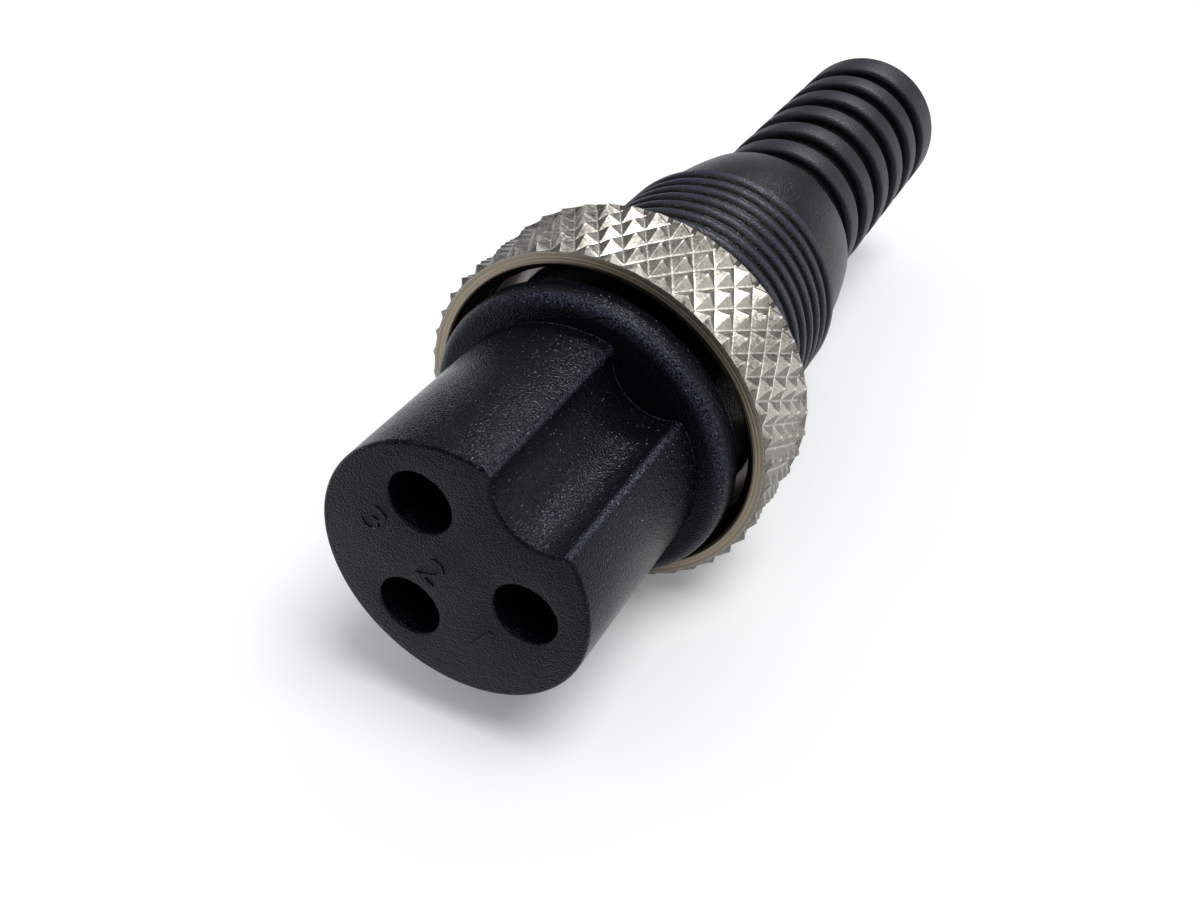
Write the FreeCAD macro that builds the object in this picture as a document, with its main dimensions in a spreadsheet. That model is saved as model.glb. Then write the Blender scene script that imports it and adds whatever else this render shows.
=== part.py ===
# A locking charging plug: keyed three-socket nose, knurled screw ring, ridged backshell, ribbed boot.
# The plug lies level on its ring. +Y runs from the nose face to the cable end, +Z is up.
# Stations are distances behind the nose face, in millimetres, and end in _at.

import FreeCAD, Part
import math
import os

import Sketcher

CONTACT_COUNT = 3
FIRST_CONTACT_TURN = 60
NEAR = 1e-4

# Driving sizes in millimetres and degrees: name, value, meaning
DRIVING = (
    ("nose_diameter", "12.5", "outside of the keyed nose"),
    ("nose_length", "10", "nose face to flange"),
    ("nose_edge_radius", "0.3", "rounding round the nose face"),
    ("nose_shoulder", "1.3", "step from the nose down to the shank behind it"),
    ("keyway_radius", "2.3", "round bottom of the keyway"),
    ("keyway_depth", "1.7", "keyway below the nose's round"),
    ("keyway_corner_radius", "0.4", "rounding of the keyway's long edges"),
    ("keyway_turn", "40.5", "keyway from straight up, towards +X"),
    ("seat_depth", "1", "nose's spigot sunk into the flange"),
    ("seat_step", "0.25", "nose's outline down to its spigot"),
    ("insert_clearance", "0.05", "gap round the insert in its sleeve"),
    ("end_clearance", "0.05", "gap along the axis between trapped pieces"),
    ("snap_rim_height", "0.17", "snap rim above the shank"),
    ("snap_rim_length", "0.95", "snap rim along the axis"),
    ("contact_edge_wall", "0.55", "wall outside each contact tail"),
    ("contact_clearance", "0.05", "gap round a contact in its hole"),
    ("mouth_diameter", "2.9", "contact hole at the nose face"),
    ("mouth_depth", "3", "wide mouth of a contact hole"),
    ("contact_recess", "0.1", "contact behind the bottom of its mouth"),
    ("barrel_diameter", "2.7", "outside of a socket contact"),
    ("barrel_length", "7.4", "socket contact's barrel"),
    ("pin_bore_diameter", "2", "bore for the mating pin"),
    ("pin_bore_depth", "4.5", "depth of the pin bore"),
    ("slot_width", "0.3", "slot between the contact's tines"),
    ("slot_length", "3.6", "length of the contact's tines"),
    ("tail_pin_diameter", "1.8", "contact's tail and solder cup"),
    ("barb_height", "0.17", "contact's barb above its tail"),
    ("barb_length", "0.5", "contact's barb along the axis"),
    ("cup_reach", "5.5", "contact's tail behind the retainer"),
    ("cup_bore_diameter", "1.2", "solder cup bore"),
    ("cup_depth", "3.5", "solder cup bore's depth"),
    ("scoop_length", "2.6", "open side of the solder cup"),
    ("scoop_depth", "0.8", "solder cup cut away on its open side"),
    ("neck_wall", "1.6", "sleeve's wall at the neck"),
    ("neck_length", "4.75", "flange to backshell"),
    ("ledge_length", "3", "ledge that the snap rim catches behind"),
    ("flange_height", "0.9", "flange above the neck"),
    ("flange_thickness", "1.6", "flange along the axis"),
    ("flange_edge_radius", "0.65", "round front edge of the flange"),
    ("retainer_thickness", "1.4", "contact retainer along the axis"),
    ("retainer_catch", "0.15", "retainer's rim in the sleeve's groove"),
    ("retainer_clearance", "0.05", "gap round the retainer"),
    ("retainer_rim_inset", "0.35", "retainer's face to its rim"),
    ("retainer_rim_length", "0.7", "retainer's rim along the axis"),
    ("tail_wall", "0.6", "wall of the sleeve's threaded tail"),
    ("tail_length", "5.2", "sleeve's threaded tail"),
    ("ring_clearance", "0.2", "gap between the flange and the ring's thread crests"),
    ("ring_wall", "1.25", "thread crests to knurl tips"),
    ("ring_length", "4.9", "screw ring along the axis"),
    ("thread_depth", "0.4", "depth of the ring's inner thread and its mouth chamfer"),
    ("ring_front_chamfer", "0.3", "chamfer over the knurl at the lip"),
    ("ring_rear_chamfer", "0.15", "chamfer over the knurl at the back"),
    ("ring_rear_land", "0.5", "ring behind the snap ring's groove"),
    ("knurl_depth", "0.38", "height of the knurl's pyramids"),
    ("knurl_teeth", "45", "pyramids round the ring"),
    ("knurl_angle", "30", "knurl's lines from the axis"),
    ("knurl_phase", "-0.5", "turn from a row straight down, in rows: two rows rest on the table"),
    ("neck_clearance", "0.25", "gap between the snap ring and the neck"),
    ("snap_catch", "0.3", "snap ring's hold in the ring's groove"),
    ("snap_radial_clearance", "0.1", "gap outside the snap ring in its groove"),
    ("snap_side_clearance", "0.05", "gap beside the snap ring in its groove"),
    ("snap_thickness", "0.7", "snap ring along the axis"),
    ("snap_gap_angle", "22", "open part of the snap ring"),
    ("rest_gap", "0.1", "snap ring to backshell with the ring pulled back"),
    ("collar_catch", "0.35", "backshell's collar above the snap ring's bore"),
    ("collar_length", "1.45", "backshell's collar along the axis"),
    ("thread_clearance", "0.05", "gap between sleeve tail and backshell"),
    ("thread_runout", "0.3", "backshell's thread bore behind the sleeve's tail"),
    ("shell_wall", "0.8", "backshell's thread bore to its ridges"),
    ("ridge_depth", "0.19", "height of a grip ridge"),
    ("ridge_pitch", "1", "ridge to ridge"),
    ("ridge_count", "9", "number of grip ridges"),
    ("ridge_crest", "0.5", "flat top of a ridge"),
    ("ridge_valley", "0.2", "flat bottom between ridges"),
    ("band_step", "0.4", "ridges above the plain band"),
    ("band_length", "5.8", "plain band along the axis"),
    ("band_crown_radius", "28", "barrel curve of the plain band"),
    ("band_wall", "0.65", "wall at the back of the plain band"),
    ("shell_edge_radius", "0.5", "rounding of the backshell's rear edge"),
    ("cavity_step", "0.12", "thread bore down to the wiring space"),
    ("cavity_clearance", "0.1", "gap round the boot's inner flange"),
    ("shell_rear_wall", "1.3", "wall that the boot passes through"),
    ("boot_diameter", "9.6", "outside of the boot's ribs"),
    ("boot_neck_cut", "0.7", "ribs down to the boot's neck"),
    ("boot_clearance", "0.05", "gap round the boot's neck"),
    ("boot_catch", "0.6", "boot's inner flange above its neck hole"),
    ("boot_flange_length", "1.3", "boot's inner flange along the axis"),
    ("boot_neck_length", "2.5", "backshell to the first rib"),
    ("rib_width", "1.75", "rib along the axis"),
    ("rib_pitch", "3", "rib to rib"),
    ("rib_count", "5", "number of ribs before the end collar"),
    ("rib_groove_depth", "0.8", "ribs down to the groove bottoms"),
    ("rib_edge_radius", "0.35", "rounding of the ribs' edges"),
    ("end_collar_length", "2.6", "boot's end collar"),
    ("cable_bore_diameter", "7", "boot's cable bore"),
    ("cable_mouth_chamfer", "0.6", "chamfer where the cable enters"),
)

# Sizes that follow from the driving ones: name, formula
DERIVED = (
    ("nose_radius", "nose_diameter / 2"),
    ("keyway_middle", "nose_radius - keyway_depth + keyway_radius"),
    ("shank_radius", "nose_radius - nose_shoulder"),
    ("spigot_radius", "nose_radius - seat_step"),
    ("spigot_keyway_radius", "keyway_radius + seat_step"),
    ("seat_radius", "spigot_radius + insert_clearance"),
    ("key_radius", "spigot_keyway_radius - insert_clearance"),
    ("ledge_radius", "shank_radius + insert_clearance"),
    ("rim_radius", "shank_radius + snap_rim_height"),
    ("tail_bore_radius", "rim_radius + insert_clearance"),
    ("retainer_radius", "tail_bore_radius - retainer_clearance"),
    ("retainer_rim_radius", "tail_bore_radius + retainer_catch"),
    ("retainer_groove_radius", "retainer_rim_radius + retainer_clearance"),
    ("tail_radius", "tail_bore_radius + tail_wall"),
    ("neck_radius", "ledge_radius + neck_wall"),
    ("flange_radius", "neck_radius + flange_height"),
    ("mouth_radius", "mouth_diameter / 2"),
    ("barrel_radius", "barrel_diameter / 2"),
    ("barrel_hole_radius", "barrel_radius + contact_clearance"),
    ("pin_bore_radius", "pin_bore_diameter / 2"),
    ("tail_pin_radius", "tail_pin_diameter / 2"),
    ("tail_hole_radius", "tail_pin_radius + contact_clearance"),
    ("barb_radius", "tail_pin_radius + barb_height"),
    ("cup_bore_radius", "cup_bore_diameter / 2"),
    ("barrel_low", "-barrel_radius"),
    ("tail_pin_low", "-tail_pin_radius"),
    ("scoop_floor", "-tail_pin_radius + scoop_depth"),
    ("slot_right", "slot_width / 2"),
    ("slot_left", "-slot_width / 2"),
    ("contact_circle_radius", "shank_radius - contact_edge_wall - tail_hole_radius"),
    ("contact_middle", "-contact_circle_radius"),
    ("ring_bore_radius", "flange_radius + ring_clearance"),
    ("ring_mouth_radius", "ring_bore_radius + thread_depth"),
    ("ring_radius", "ring_bore_radius + ring_wall"),
    ("knurl_root_radius", "ring_radius - knurl_depth"),
    ("ring_blank_radius", "ring_radius + knurl_depth"),
    ("ring_front_edge_radius", "ring_radius - ring_front_chamfer"),
    ("ring_rear_edge_radius", "ring_radius - ring_rear_chamfer"),
    ("snap_inner_radius", "neck_radius + neck_clearance"),
    ("snap_outer_radius", "ring_bore_radius + snap_catch"),
    ("snap_groove_radius", "snap_outer_radius + snap_radial_clearance"),
    ("collar_radius", "snap_inner_radius + collar_catch"),
    ("shell_bore_radius", "tail_radius + thread_clearance"),
    ("ridge_radius", "shell_bore_radius + shell_wall"),
    ("ridge_root_radius", "ridge_radius - ridge_depth"),
    ("ridge_flank", "(ridge_pitch - ridge_crest - ridge_valley) / 2"),
    ("band_front_radius", "ridge_radius - band_step"),
    ("boot_radius", "boot_diameter / 2"),
    ("boot_neck_radius", "boot_radius - boot_neck_cut"),
    ("shell_hole_radius", "boot_neck_radius + boot_clearance"),
    ("boot_flange_radius", "shell_hole_radius + boot_catch"),
    ("cavity_rear_radius", "boot_flange_radius + cavity_clearance"),
    ("cavity_front_radius", "shell_bore_radius - cavity_step"),
    ("band_rear_radius", "cavity_rear_radius + band_wall"),
    ("rib_root_radius", "boot_radius - rib_groove_depth"),
    ("cable_bore_radius", "cable_bore_diameter / 2"),
    ("cable_mouth_radius", "cable_bore_radius + cable_mouth_chamfer"),
    ("contact_front_at", "mouth_depth + contact_recess"),
    ("pin_bore_end_at", "contact_front_at + pin_bore_depth"),
    ("barrel_rear_at", "contact_front_at + barrel_length"),
    ("barrel_hole_end_at", "barrel_rear_at + end_clearance"),
    ("seat_at", "nose_length + seat_depth"),
    ("flange_rear_at", "nose_length + flange_thickness"),
    ("shell_front_at", "flange_rear_at + neck_length"),
    ("ledge_rear_at", "seat_at + ledge_length"),
    ("rim_front_at", "ledge_rear_at + end_clearance"),
    ("rim_taper_at", "rim_front_at + snap_rim_length / 2"),
    ("insert_rear_at", "rim_front_at + snap_rim_length"),
    ("retainer_front_at", "insert_rear_at + end_clearance"),
    ("retainer_rim_front_at", "retainer_front_at + retainer_rim_inset"),
    ("retainer_rim_rear_at", "retainer_rim_front_at + retainer_rim_length"),
    ("retainer_rear_at", "retainer_front_at + retainer_thickness"),
    ("retainer_groove_front_at", "retainer_rim_front_at - end_clearance"),
    ("retainer_groove_rear_at", "retainer_rim_rear_at + end_clearance"),
    ("barb_front_at", "retainer_rear_at + end_clearance"),
    ("barb_rear_at", "barb_front_at + barb_length"),
    ("contact_rear_at", "retainer_rear_at + cup_reach"),
    ("cup_bottom_at", "contact_rear_at - cup_depth"),
    ("scoop_at", "contact_rear_at - scoop_length"),
    ("slot_end_at", "contact_front_at + slot_length"),
    ("tail_rear_at", "shell_front_at + tail_length"),
    ("snap_rear_at", "shell_front_at - rest_gap"),
    ("snap_front_at", "snap_rear_at - snap_thickness"),
    ("snap_groove_rear_at", "snap_rear_at + snap_side_clearance"),
    ("snap_groove_front_at", "snap_front_at - snap_side_clearance"),
    ("ring_rear_at", "snap_groove_rear_at + ring_rear_land"),
    ("ring_front_at", "ring_rear_at - ring_length"),
    ("ring_mouth_end_at", "ring_front_at + thread_depth"),
    ("ring_front_chamfer_at", "ring_front_at + ring_front_chamfer + knurl_depth"),
    ("ring_rear_chamfer_at", "ring_rear_at - ring_rear_chamfer - knurl_depth"),
    ("collar_rear_at", "shell_front_at + collar_length"),
    ("valley_front_at", "collar_rear_at + ridge_flank"),
    ("valley_rear_at", "valley_front_at + ridge_valley"),
    ("crest_front_at", "valley_rear_at + ridge_flank"),
    ("ridge_rear_at", "collar_rear_at + ridge_count * ridge_pitch"),
    ("shell_rear_at", "ridge_rear_at + band_length"),
    ("thread_end_at", "tail_rear_at + thread_runout"),
    ("cavity_rear_at", "shell_rear_at - shell_rear_wall"),
    ("boot_flange_front_at", "cavity_rear_at - boot_flange_length"),
    ("rib_front_at", "shell_rear_at + boot_neck_length"),
    ("rib_rear_at", "rib_front_at + rib_width"),
    ("next_rib_at", "rib_front_at + rib_pitch"),
    ("end_collar_at", "rib_front_at + rib_count * rib_pitch"),
    ("boot_rear_at", "end_collar_at + end_collar_length"),
    ("cable_mouth_at", "boot_rear_at - cable_mouth_chamfer"),
)

doc = FreeCAD.newDocument("LockingChargingPlug")
sheet = doc.addObject("Spreadsheet::Sheet", "Dimensions")


# Spreadsheet

def fill_sheet():
    row = 0
    for name, number, meaning in DRIVING:
        row += 1
        sheet.set(f"A{row}", meaning)
        sheet.set(f"B{row}", number)
        sheet.setAlias(f"B{row}", name)
    for name, formula in DERIVED:
        row += 1
        sheet.set(f"A{row}", name.replace("_", " "))
        sheet.set(f"B{row}", "=" + formula)
        sheet.setAlias(f"B{row}", name)
    doc.recompute()


def value(name):
    return float(sheet.get(name))


def cell(name):
    return f"Dimensions.{name}"


# Bodies, sketches and features

def new_body(label):
    body = doc.addObject("PartDesign::Body", label)
    body.Label = label
    return body


def origin_feature(body, role):
    return next(item for item in body.Origin.OriginFeatures if item.Role == role)


def new_sketch(body, name, plane):
    sketch = body.newObject("Sketcher::SketchObject", name)
    sketch.AttachmentSupport = [(origin_feature(body, plane), "")]
    sketch.MapMode = "FlatFace"
    return sketch


def measure(sketch, kind, name, *places):
    index = sketch.addConstraint(Sketcher.Constraint(kind, *places, value(name)))
    sketch.setExpression(f"Constraints[{index}]", cell(name))


def outward_arc(start, end, radius):
    chord = end - start
    along = FreeCAD.Vector(chord).normalize()
    inward = FreeCAD.Vector(-along.y, along.x, 0)
    reach = math.sqrt(radius ** 2 - (chord.Length / 2) ** 2)
    middle = start + chord * 0.5 + inward * reach
    first = math.atan2(start.y - middle.y, start.x - middle.x)
    last = math.atan2(end.y - middle.y, end.x - middle.x)
    return Part.ArcOfCircle(Part.Circle(middle, FreeCAD.Vector(0, 0, 1), radius), first, last)


def profile(body, name, corners, plane="XY_Plane", arcs=None):
    """A closed outline through named corners, counter-clockwise; None across is on the axis."""
    arcs = arcs or {}
    sketch = new_sketch(body, name, plane)
    points = [FreeCAD.Vector(value(across) if across else 0, value(along), 0) for across, along in corners]
    count = len(points)
    for index, start in enumerate(points):
        end = points[(index + 1) % count]
        if index in arcs:
            sketch.addGeometry(outward_arc(start, end, value(arcs[index])))
        else:
            sketch.addGeometry(Part.LineSegment(start, end))
    for index in range(count):
        sketch.addConstraint(Sketcher.Constraint("Coincident", index, 2, (index + 1) % count, 1))
    for index, (across, along) in enumerate(corners):
        if across:
            measure(sketch, "DistanceX", across, -1, 1, index, 1)
        else:
            sketch.addConstraint(Sketcher.Constraint("PointOnObject", index, 1, -2))
        measure(sketch, "DistanceY", along, -1, 1, index, 1)
        if index in arcs:
            measure(sketch, "Radius", arcs[index], index)
    return sketch


def turned(body, kind, name, sketch):
    feature = body.newObject(f"PartDesign::{kind}", name)
    feature.Profile = sketch
    feature.ReferenceAxis = (sketch, ["V_Axis"])
    feature.Angle = 360
    doc.recompute()
    return feature


def rounded(body, name, base, edges, radius):
    feature = body.newObject("PartDesign::Fillet", name)
    feature.Base = (base, edges)
    feature.setExpression("Radius", cell(radius))
    doc.recompute()
    return feature


def edge_names(feature, wanted):
    return [f"Edge{number}" for number, edge in enumerate(feature.Shape.Edges, start=1) if wanted(edge)]


def round_edges(feature, places):
    """Names of the full circles round the axis at (radius, station) places."""
    def wanted(edge):
        if not isinstance(edge.Curve, Part.Circle):
            return False
        middle = edge.Curve.Center
        on_axis = math.hypot(middle.x, middle.z) < NEAR
        return on_axis and any(
            abs(edge.Curve.Radius - radius) < NEAR and abs(middle.y - station) < NEAR
            for radius, station in places
        )
    return edge_names(feature, wanted)


def edge_radius(edge):
    return edge.Curve.Radius if isinstance(edge.Curve, Part.Circle) else 0


def contact_hole(body, name, radius, depth):
    """A round hole from the nose face, opposite the keyway, on the contacts' circle."""
    sketch = new_sketch(body, f"{name}Circle", "XZ_Plane")
    middle = FreeCAD.Vector(0, value("contact_middle"), 0)
    sketch.addGeometry(Part.Circle(middle, FreeCAD.Vector(0, 0, 1), value(radius)))
    sketch.addConstraint(Sketcher.Constraint("PointOnObject", 0, 3, -2))
    measure(sketch, "DistanceY", "contact_middle", -1, 1, 0, 3)
    measure(sketch, "Radius", radius, 0)
    hole = body.newObject("PartDesign::Pocket", name)
    hole.Profile = sketch
    hole.setExpression("Length", cell(depth))
    doc.recompute()
    return hole


def contact_pattern(body, name, features):
    pattern = body.newObject("PartDesign::PolarPattern", name)
    pattern.Originals = features
    pattern.Axis = (origin_feature(body, "Y_Axis"), [""])
    pattern.Angle = 360
    pattern.Occurrences = CONTACT_COUNT
    body.Tip = pattern
    doc.recompute()
    return pattern


def line_pattern(body, name, feature, pitch, count):
    pattern = body.newObject("PartDesign::LinearPattern", name)
    pattern.Originals = [feature]
    pattern.Direction = (origin_feature(body, "Y_Axis"), [""])
    pattern.setExpression("Length", f"{cell(pitch)} * ({cell(count)} - 1)")
    pattern.setExpression("Occurrences", cell(count))
    body.Tip = pattern
    doc.recompute()
    return pattern


def placed(feature, turn=0, across=0, up=0):
    """Lays a piece in the part's frame: the axis level, the ring on the ground, the length centred."""
    shift = FreeCAD.Vector(across, -value("boot_rear_at") / 2, up + value("ring_radius"))
    feature.Placement = FreeCAD.Placement(shift, FreeCAD.Rotation(FreeCAD.Vector(0, 1, 0), turn))


def keyed_outline(body, name, radius, keyway):
    """The nose's round with its keyway at the top, on the XZ plane."""
    sketch = new_sketch(body, name, "XZ_Plane")
    middle = value("keyway_middle")
    corner_up = (value(radius) ** 2 - value(keyway) ** 2 + middle ** 2) / (2 * middle)
    mouth = math.acos(corner_up / value(radius))
    side = math.atan2(corner_up - middle, value(radius) * math.sin(mouth))
    up = math.pi / 2
    normal = FreeCAD.Vector(0, 0, 1)
    round_circle = Part.Circle(FreeCAD.Vector(0, 0, 0), normal, value(radius))
    keyway_circle = Part.Circle(FreeCAD.Vector(0, middle, 0), normal, value(keyway))
    sketch.addGeometry(Part.ArcOfCircle(round_circle, up + mouth, up - mouth + 2 * math.pi))
    sketch.addGeometry(Part.ArcOfCircle(keyway_circle, math.pi - side, 2 * math.pi + side))
    sketch.addConstraint(Sketcher.Constraint("Coincident", 0, 3, -1, 1))
    sketch.addConstraint(Sketcher.Constraint("PointOnObject", 1, 3, -2))
    sketch.addConstraint(Sketcher.Constraint("Coincident", 0, 1, 1, 1))
    sketch.addConstraint(Sketcher.Constraint("Coincident", 0, 2, 1, 2))
    measure(sketch, "Radius", radius, 0)
    measure(sketch, "Radius", keyway, 1)
    measure(sketch, "DistanceY", "keyway_middle", -1, 1, 1, 3)
    return sketch


def keyed_pad(body, name, radius, keyway, length):
    pad = body.newObject("PartDesign::Pad", name)
    pad.Profile = keyed_outline(body, f"{name}Outline", radius, keyway)
    pad.setExpression("Length", cell(length))
    pad.Reversed = True
    doc.recompute()
    return pad


# Pieces

def contact_insert():
    body = new_body("contact_insert")
    nose = keyed_pad(body, "InsertNose", "nose_radius", "keyway_radius", "nose_length")
    long_edges = edge_names(nose, lambda edge: isinstance(edge.Curve, Part.Line))
    corners = rounded(body, "InsertKeywayCorners", nose, long_edges, "keyway_corner_radius")
    face_edges = edge_names(corners, lambda edge: edge.BoundBox.YMax < NEAR)
    rounded(body, "InsertFaceEdge", corners, face_edges, "nose_edge_radius")
    keyed_pad(body, "InsertSpigot", "spigot_radius", "spigot_keyway_radius", "seat_at")
    shank = profile(body, "InsertShankProfile", (
        (None, "nose_length"),
        ("shank_radius", "nose_length"),
        ("shank_radius", "rim_front_at"),
        ("rim_radius", "rim_front_at"),
        ("rim_radius", "rim_taper_at"),
        ("shank_radius", "insert_rear_at"),
        (None, "insert_rear_at"),
    ))
    turned(body, "Revolution", "InsertShank", shank)
    mouth = contact_hole(body, "InsertMouth", "mouth_radius", "mouth_depth")
    barrel = contact_hole(body, "InsertBarrelHole", "barrel_hole_radius", "barrel_hole_end_at")
    tail = contact_hole(body, "InsertTailHole", "tail_hole_radius", "insert_rear_at")
    contact_pattern(body, "InsertContacts", [mouth, barrel, tail])
    placed(body, value("keyway_turn"))
    return body


def plug_sleeve():
    body = new_body("plug_sleeve")
    wall = profile(body, "SleeveProfile", (
        ("ledge_radius", "nose_length"),
        ("flange_radius", "nose_length"),
        ("flange_radius", "flange_rear_at"),
        ("neck_radius", "flange_rear_at"),
        ("neck_radius", "shell_front_at"),
        ("tail_radius", "shell_front_at"),
        ("tail_radius", "tail_rear_at"),
        ("tail_bore_radius", "tail_rear_at"),
        ("tail_bore_radius", "retainer_groove_rear_at"),
        ("retainer_groove_radius", "retainer_groove_rear_at"),
        ("retainer_groove_radius", "retainer_groove_front_at"),
        ("tail_bore_radius", "retainer_groove_front_at"),
        ("tail_bore_radius", "ledge_rear_at"),
        ("ledge_radius", "ledge_rear_at"),
    ))
    sleeve = turned(body, "Revolution", "SleeveWall", wall)
    front_edge = round_edges(sleeve, [(value("flange_radius"), value("nose_length"))])
    rounded(body, "SleeveFlangeEdge", sleeve, front_edge, "flange_edge_radius")
    seat = body.newObject("PartDesign::Pocket", "SleeveSeat")
    seat.Profile = keyed_outline(body, "SleeveSeatOutline", "seat_radius", "key_radius")
    seat.setExpression("Length", cell("seat_at"))
    doc.recompute()
    placed(body, value("keyway_turn"))
    return body


def contact_retainer():
    body = new_body("contact_retainer")
    disc = profile(body, "RetainerProfile", (
        (None, "retainer_front_at"),
        ("retainer_radius", "retainer_front_at"),
        ("retainer_radius", "retainer_rim_front_at"),
        ("retainer_rim_radius", "retainer_rim_front_at"),
        ("retainer_rim_radius", "retainer_rim_rear_at"),
        ("retainer_radius", "retainer_rim_rear_at"),
        ("retainer_radius", "retainer_rear_at"),
        (None, "retainer_rear_at"),
    ))
    turned(body, "Revolution", "RetainerDisc", disc)
    hole = contact_hole(body, "RetainerHole", "tail_hole_radius", "retainer_rear_at")
    contact_pattern(body, "RetainerHoles", [hole])
    placed(body, value("keyway_turn"))
    return body


def socket_contact(number):
    body = new_body(f"socket_contact_{number}")
    barrel = profile(body, f"ContactProfile{number}", (
        ("pin_bore_radius", "contact_front_at"),
        ("barrel_radius", "contact_front_at"),
        ("barrel_radius", "barrel_rear_at"),
        ("tail_pin_radius", "barrel_rear_at"),
        ("tail_pin_radius", "barb_front_at"),
        ("barb_radius", "barb_front_at"),
        ("tail_pin_radius", "barb_rear_at"),
        ("tail_pin_radius", "contact_rear_at"),
        ("cup_bore_radius", "contact_rear_at"),
        ("cup_bore_radius", "cup_bottom_at"),
        (None, "cup_bottom_at"),
        (None, "pin_bore_end_at"),
        ("pin_bore_radius", "pin_bore_end_at"),
    ))
    turned(body, "Revolution", f"ContactTurned{number}", barrel)
    slot = profile(body, f"ContactSlotOutline{number}", (
        ("slot_left", "barrel_low"),
        ("slot_right", "barrel_low"),
        ("slot_right", "barrel_radius"),
        ("slot_left", "barrel_radius"),
    ), "XZ_Plane")
    cut = body.newObject("PartDesign::Pocket", f"ContactSlot{number}")
    cut.Profile = slot
    cut.setExpression("Length", cell("slot_end_at"))
    scoop = profile(body, f"ContactScoopOutline{number}", (
        ("scoop_at", "tail_pin_low"),
        ("contact_rear_at", "tail_pin_low"),
        ("contact_rear_at", "scoop_floor"),
        ("scoop_at", "scoop_floor"),
    ), "YZ_Plane")
    open_side = body.newObject("PartDesign::Pocket", f"ContactScoop{number}")
    open_side.Profile = scoop
    open_side.SideType = "Symmetric"
    open_side.setExpression("Length", cell("barrel_diameter"))
    doc.recompute()
    turn = math.radians(FIRST_CONTACT_TURN + (number - 1) * 360 / CONTACT_COUNT + value("keyway_turn"))
    reach = value("contact_circle_radius")
    placed(body, value("keyway_turn"), reach * math.sin(turn), reach * math.cos(turn))
    return body


def snap_ring():
    body = new_body("snap_ring")
    wire = profile(body, "SnapRingProfile", (
        ("snap_inner_radius", "snap_front_at"),
        ("snap_outer_radius", "snap_front_at"),
        ("snap_outer_radius", "snap_rear_at"),
        ("snap_inner_radius", "snap_rear_at"),
    ))
    ring = turned(body, "Revolution", "SnapRingTurn", wire)
    ring.setExpression("Angle", f"360 - {cell('snap_gap_angle')}")
    doc.recompute()
    placed(body)
    return body


def knurl_solid():
    """A bar covered in raised pyramids: tips and roots alternate along and round the ring."""
    columns = 2 * int(value("knurl_teeth"))
    step = 2 * math.pi / columns
    half_pitch = value("ring_radius") * step / math.tan(math.radians(value("knurl_angle")))
    rows = 2 * math.ceil(value("ring_length") / half_pitch / 2) + 2
    start = (value("ring_front_at") + value("ring_rear_at") - rows * half_pitch) / 2

    def point(row, column):
        tip = (row + column) % 2 == 0
        radius = value("ring_radius") if tip else value("knurl_root_radius")
        turn = (column % columns + value("knurl_phase")) * step - math.pi / 2
        return FreeCAD.Vector(radius * math.cos(turn), start + row * half_pitch, radius * math.sin(turn))

    outlines = [[point(row, column) for column in range(columns)] for row in (0, rows)]
    for row in range(rows):
        for column in range(columns):
            a, b = point(row, column), point(row, column + 1)
            d, c = point(row + 1, column), point(row + 1, column + 1)
            if (row + column) % 2 == 0:
                outlines += [[a, b, d], [b, c, d]]
            else:
                outlines += [[a, b, c], [a, c, d]]
    faces = [Part.Face(Part.makePolygon(outline + outline[:1])) for outline in outlines]
    solid = Part.makeSolid(Part.Shell(faces))
    if solid.Volume < 0:
        solid.reverse()
    return solid


def coupling_ring():
    blank = new_body("RingBlank")
    wall = profile(blank, "RingProfile", (
        ("ring_mouth_radius", "ring_front_at"),
        ("ring_front_edge_radius", "ring_front_at"),
        ("ring_blank_radius", "ring_front_chamfer_at"),
        ("ring_blank_radius", "ring_rear_chamfer_at"),
        ("ring_rear_edge_radius", "ring_rear_at"),
        ("ring_bore_radius", "ring_rear_at"),
        ("ring_bore_radius", "snap_groove_rear_at"),
        ("snap_groove_radius", "snap_groove_rear_at"),
        ("snap_groove_radius", "snap_groove_front_at"),
        ("ring_bore_radius", "snap_groove_front_at"),
        ("ring_bore_radius", "ring_mouth_end_at"),
    ))
    turned(blank, "Revolution", "RingTurned", wall)
    knurl = doc.addObject("Part::Feature", "KnurledBar")
    knurl.Shape = knurl_solid()
    ring = doc.addObject("Part::Common", "coupling_ring")
    ring.Base = knurl
    ring.Tool = blank
    ring.Label = "coupling_ring"
    doc.recompute()
    placed(ring)
    return ring


def backshell():
    body = new_body("backshell")
    wall = profile(body, "ShellProfile", (
        ("shell_bore_radius", "shell_front_at"),
        ("collar_radius", "shell_front_at"),
        ("collar_radius", "collar_rear_at"),
        ("ridge_radius", "collar_rear_at"),
        ("ridge_radius", "ridge_rear_at"),
        ("band_front_radius", "ridge_rear_at"),
        ("band_rear_radius", "shell_rear_at"),
        ("shell_hole_radius", "shell_rear_at"),
        ("shell_hole_radius", "cavity_rear_at"),
        ("cavity_rear_radius", "cavity_rear_at"),
        ("cavity_front_radius", "ridge_rear_at"),
        ("cavity_front_radius", "thread_end_at"),
        ("shell_bore_radius", "thread_end_at"),
    ), arcs={5: "band_crown_radius"})
    shell = turned(body, "Revolution", "ShellWall", wall)
    rear_edge = round_edges(shell, [(value("band_rear_radius"), value("shell_rear_at"))])
    rounded(body, "ShellRearEdge", shell, rear_edge, "shell_edge_radius")
    valley = profile(body, "ValleyProfile", (
        ("ridge_root_radius", "valley_front_at"),
        ("ridge_radius", "collar_rear_at"),
        ("ridge_radius", "crest_front_at"),
        ("ridge_root_radius", "valley_rear_at"),
    ))
    groove = turned(body, "Groove", "Valley", valley)
    line_pattern(body, "GripRidges", groove, "ridge_pitch", "ridge_count")
    placed(body)
    return body


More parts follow.
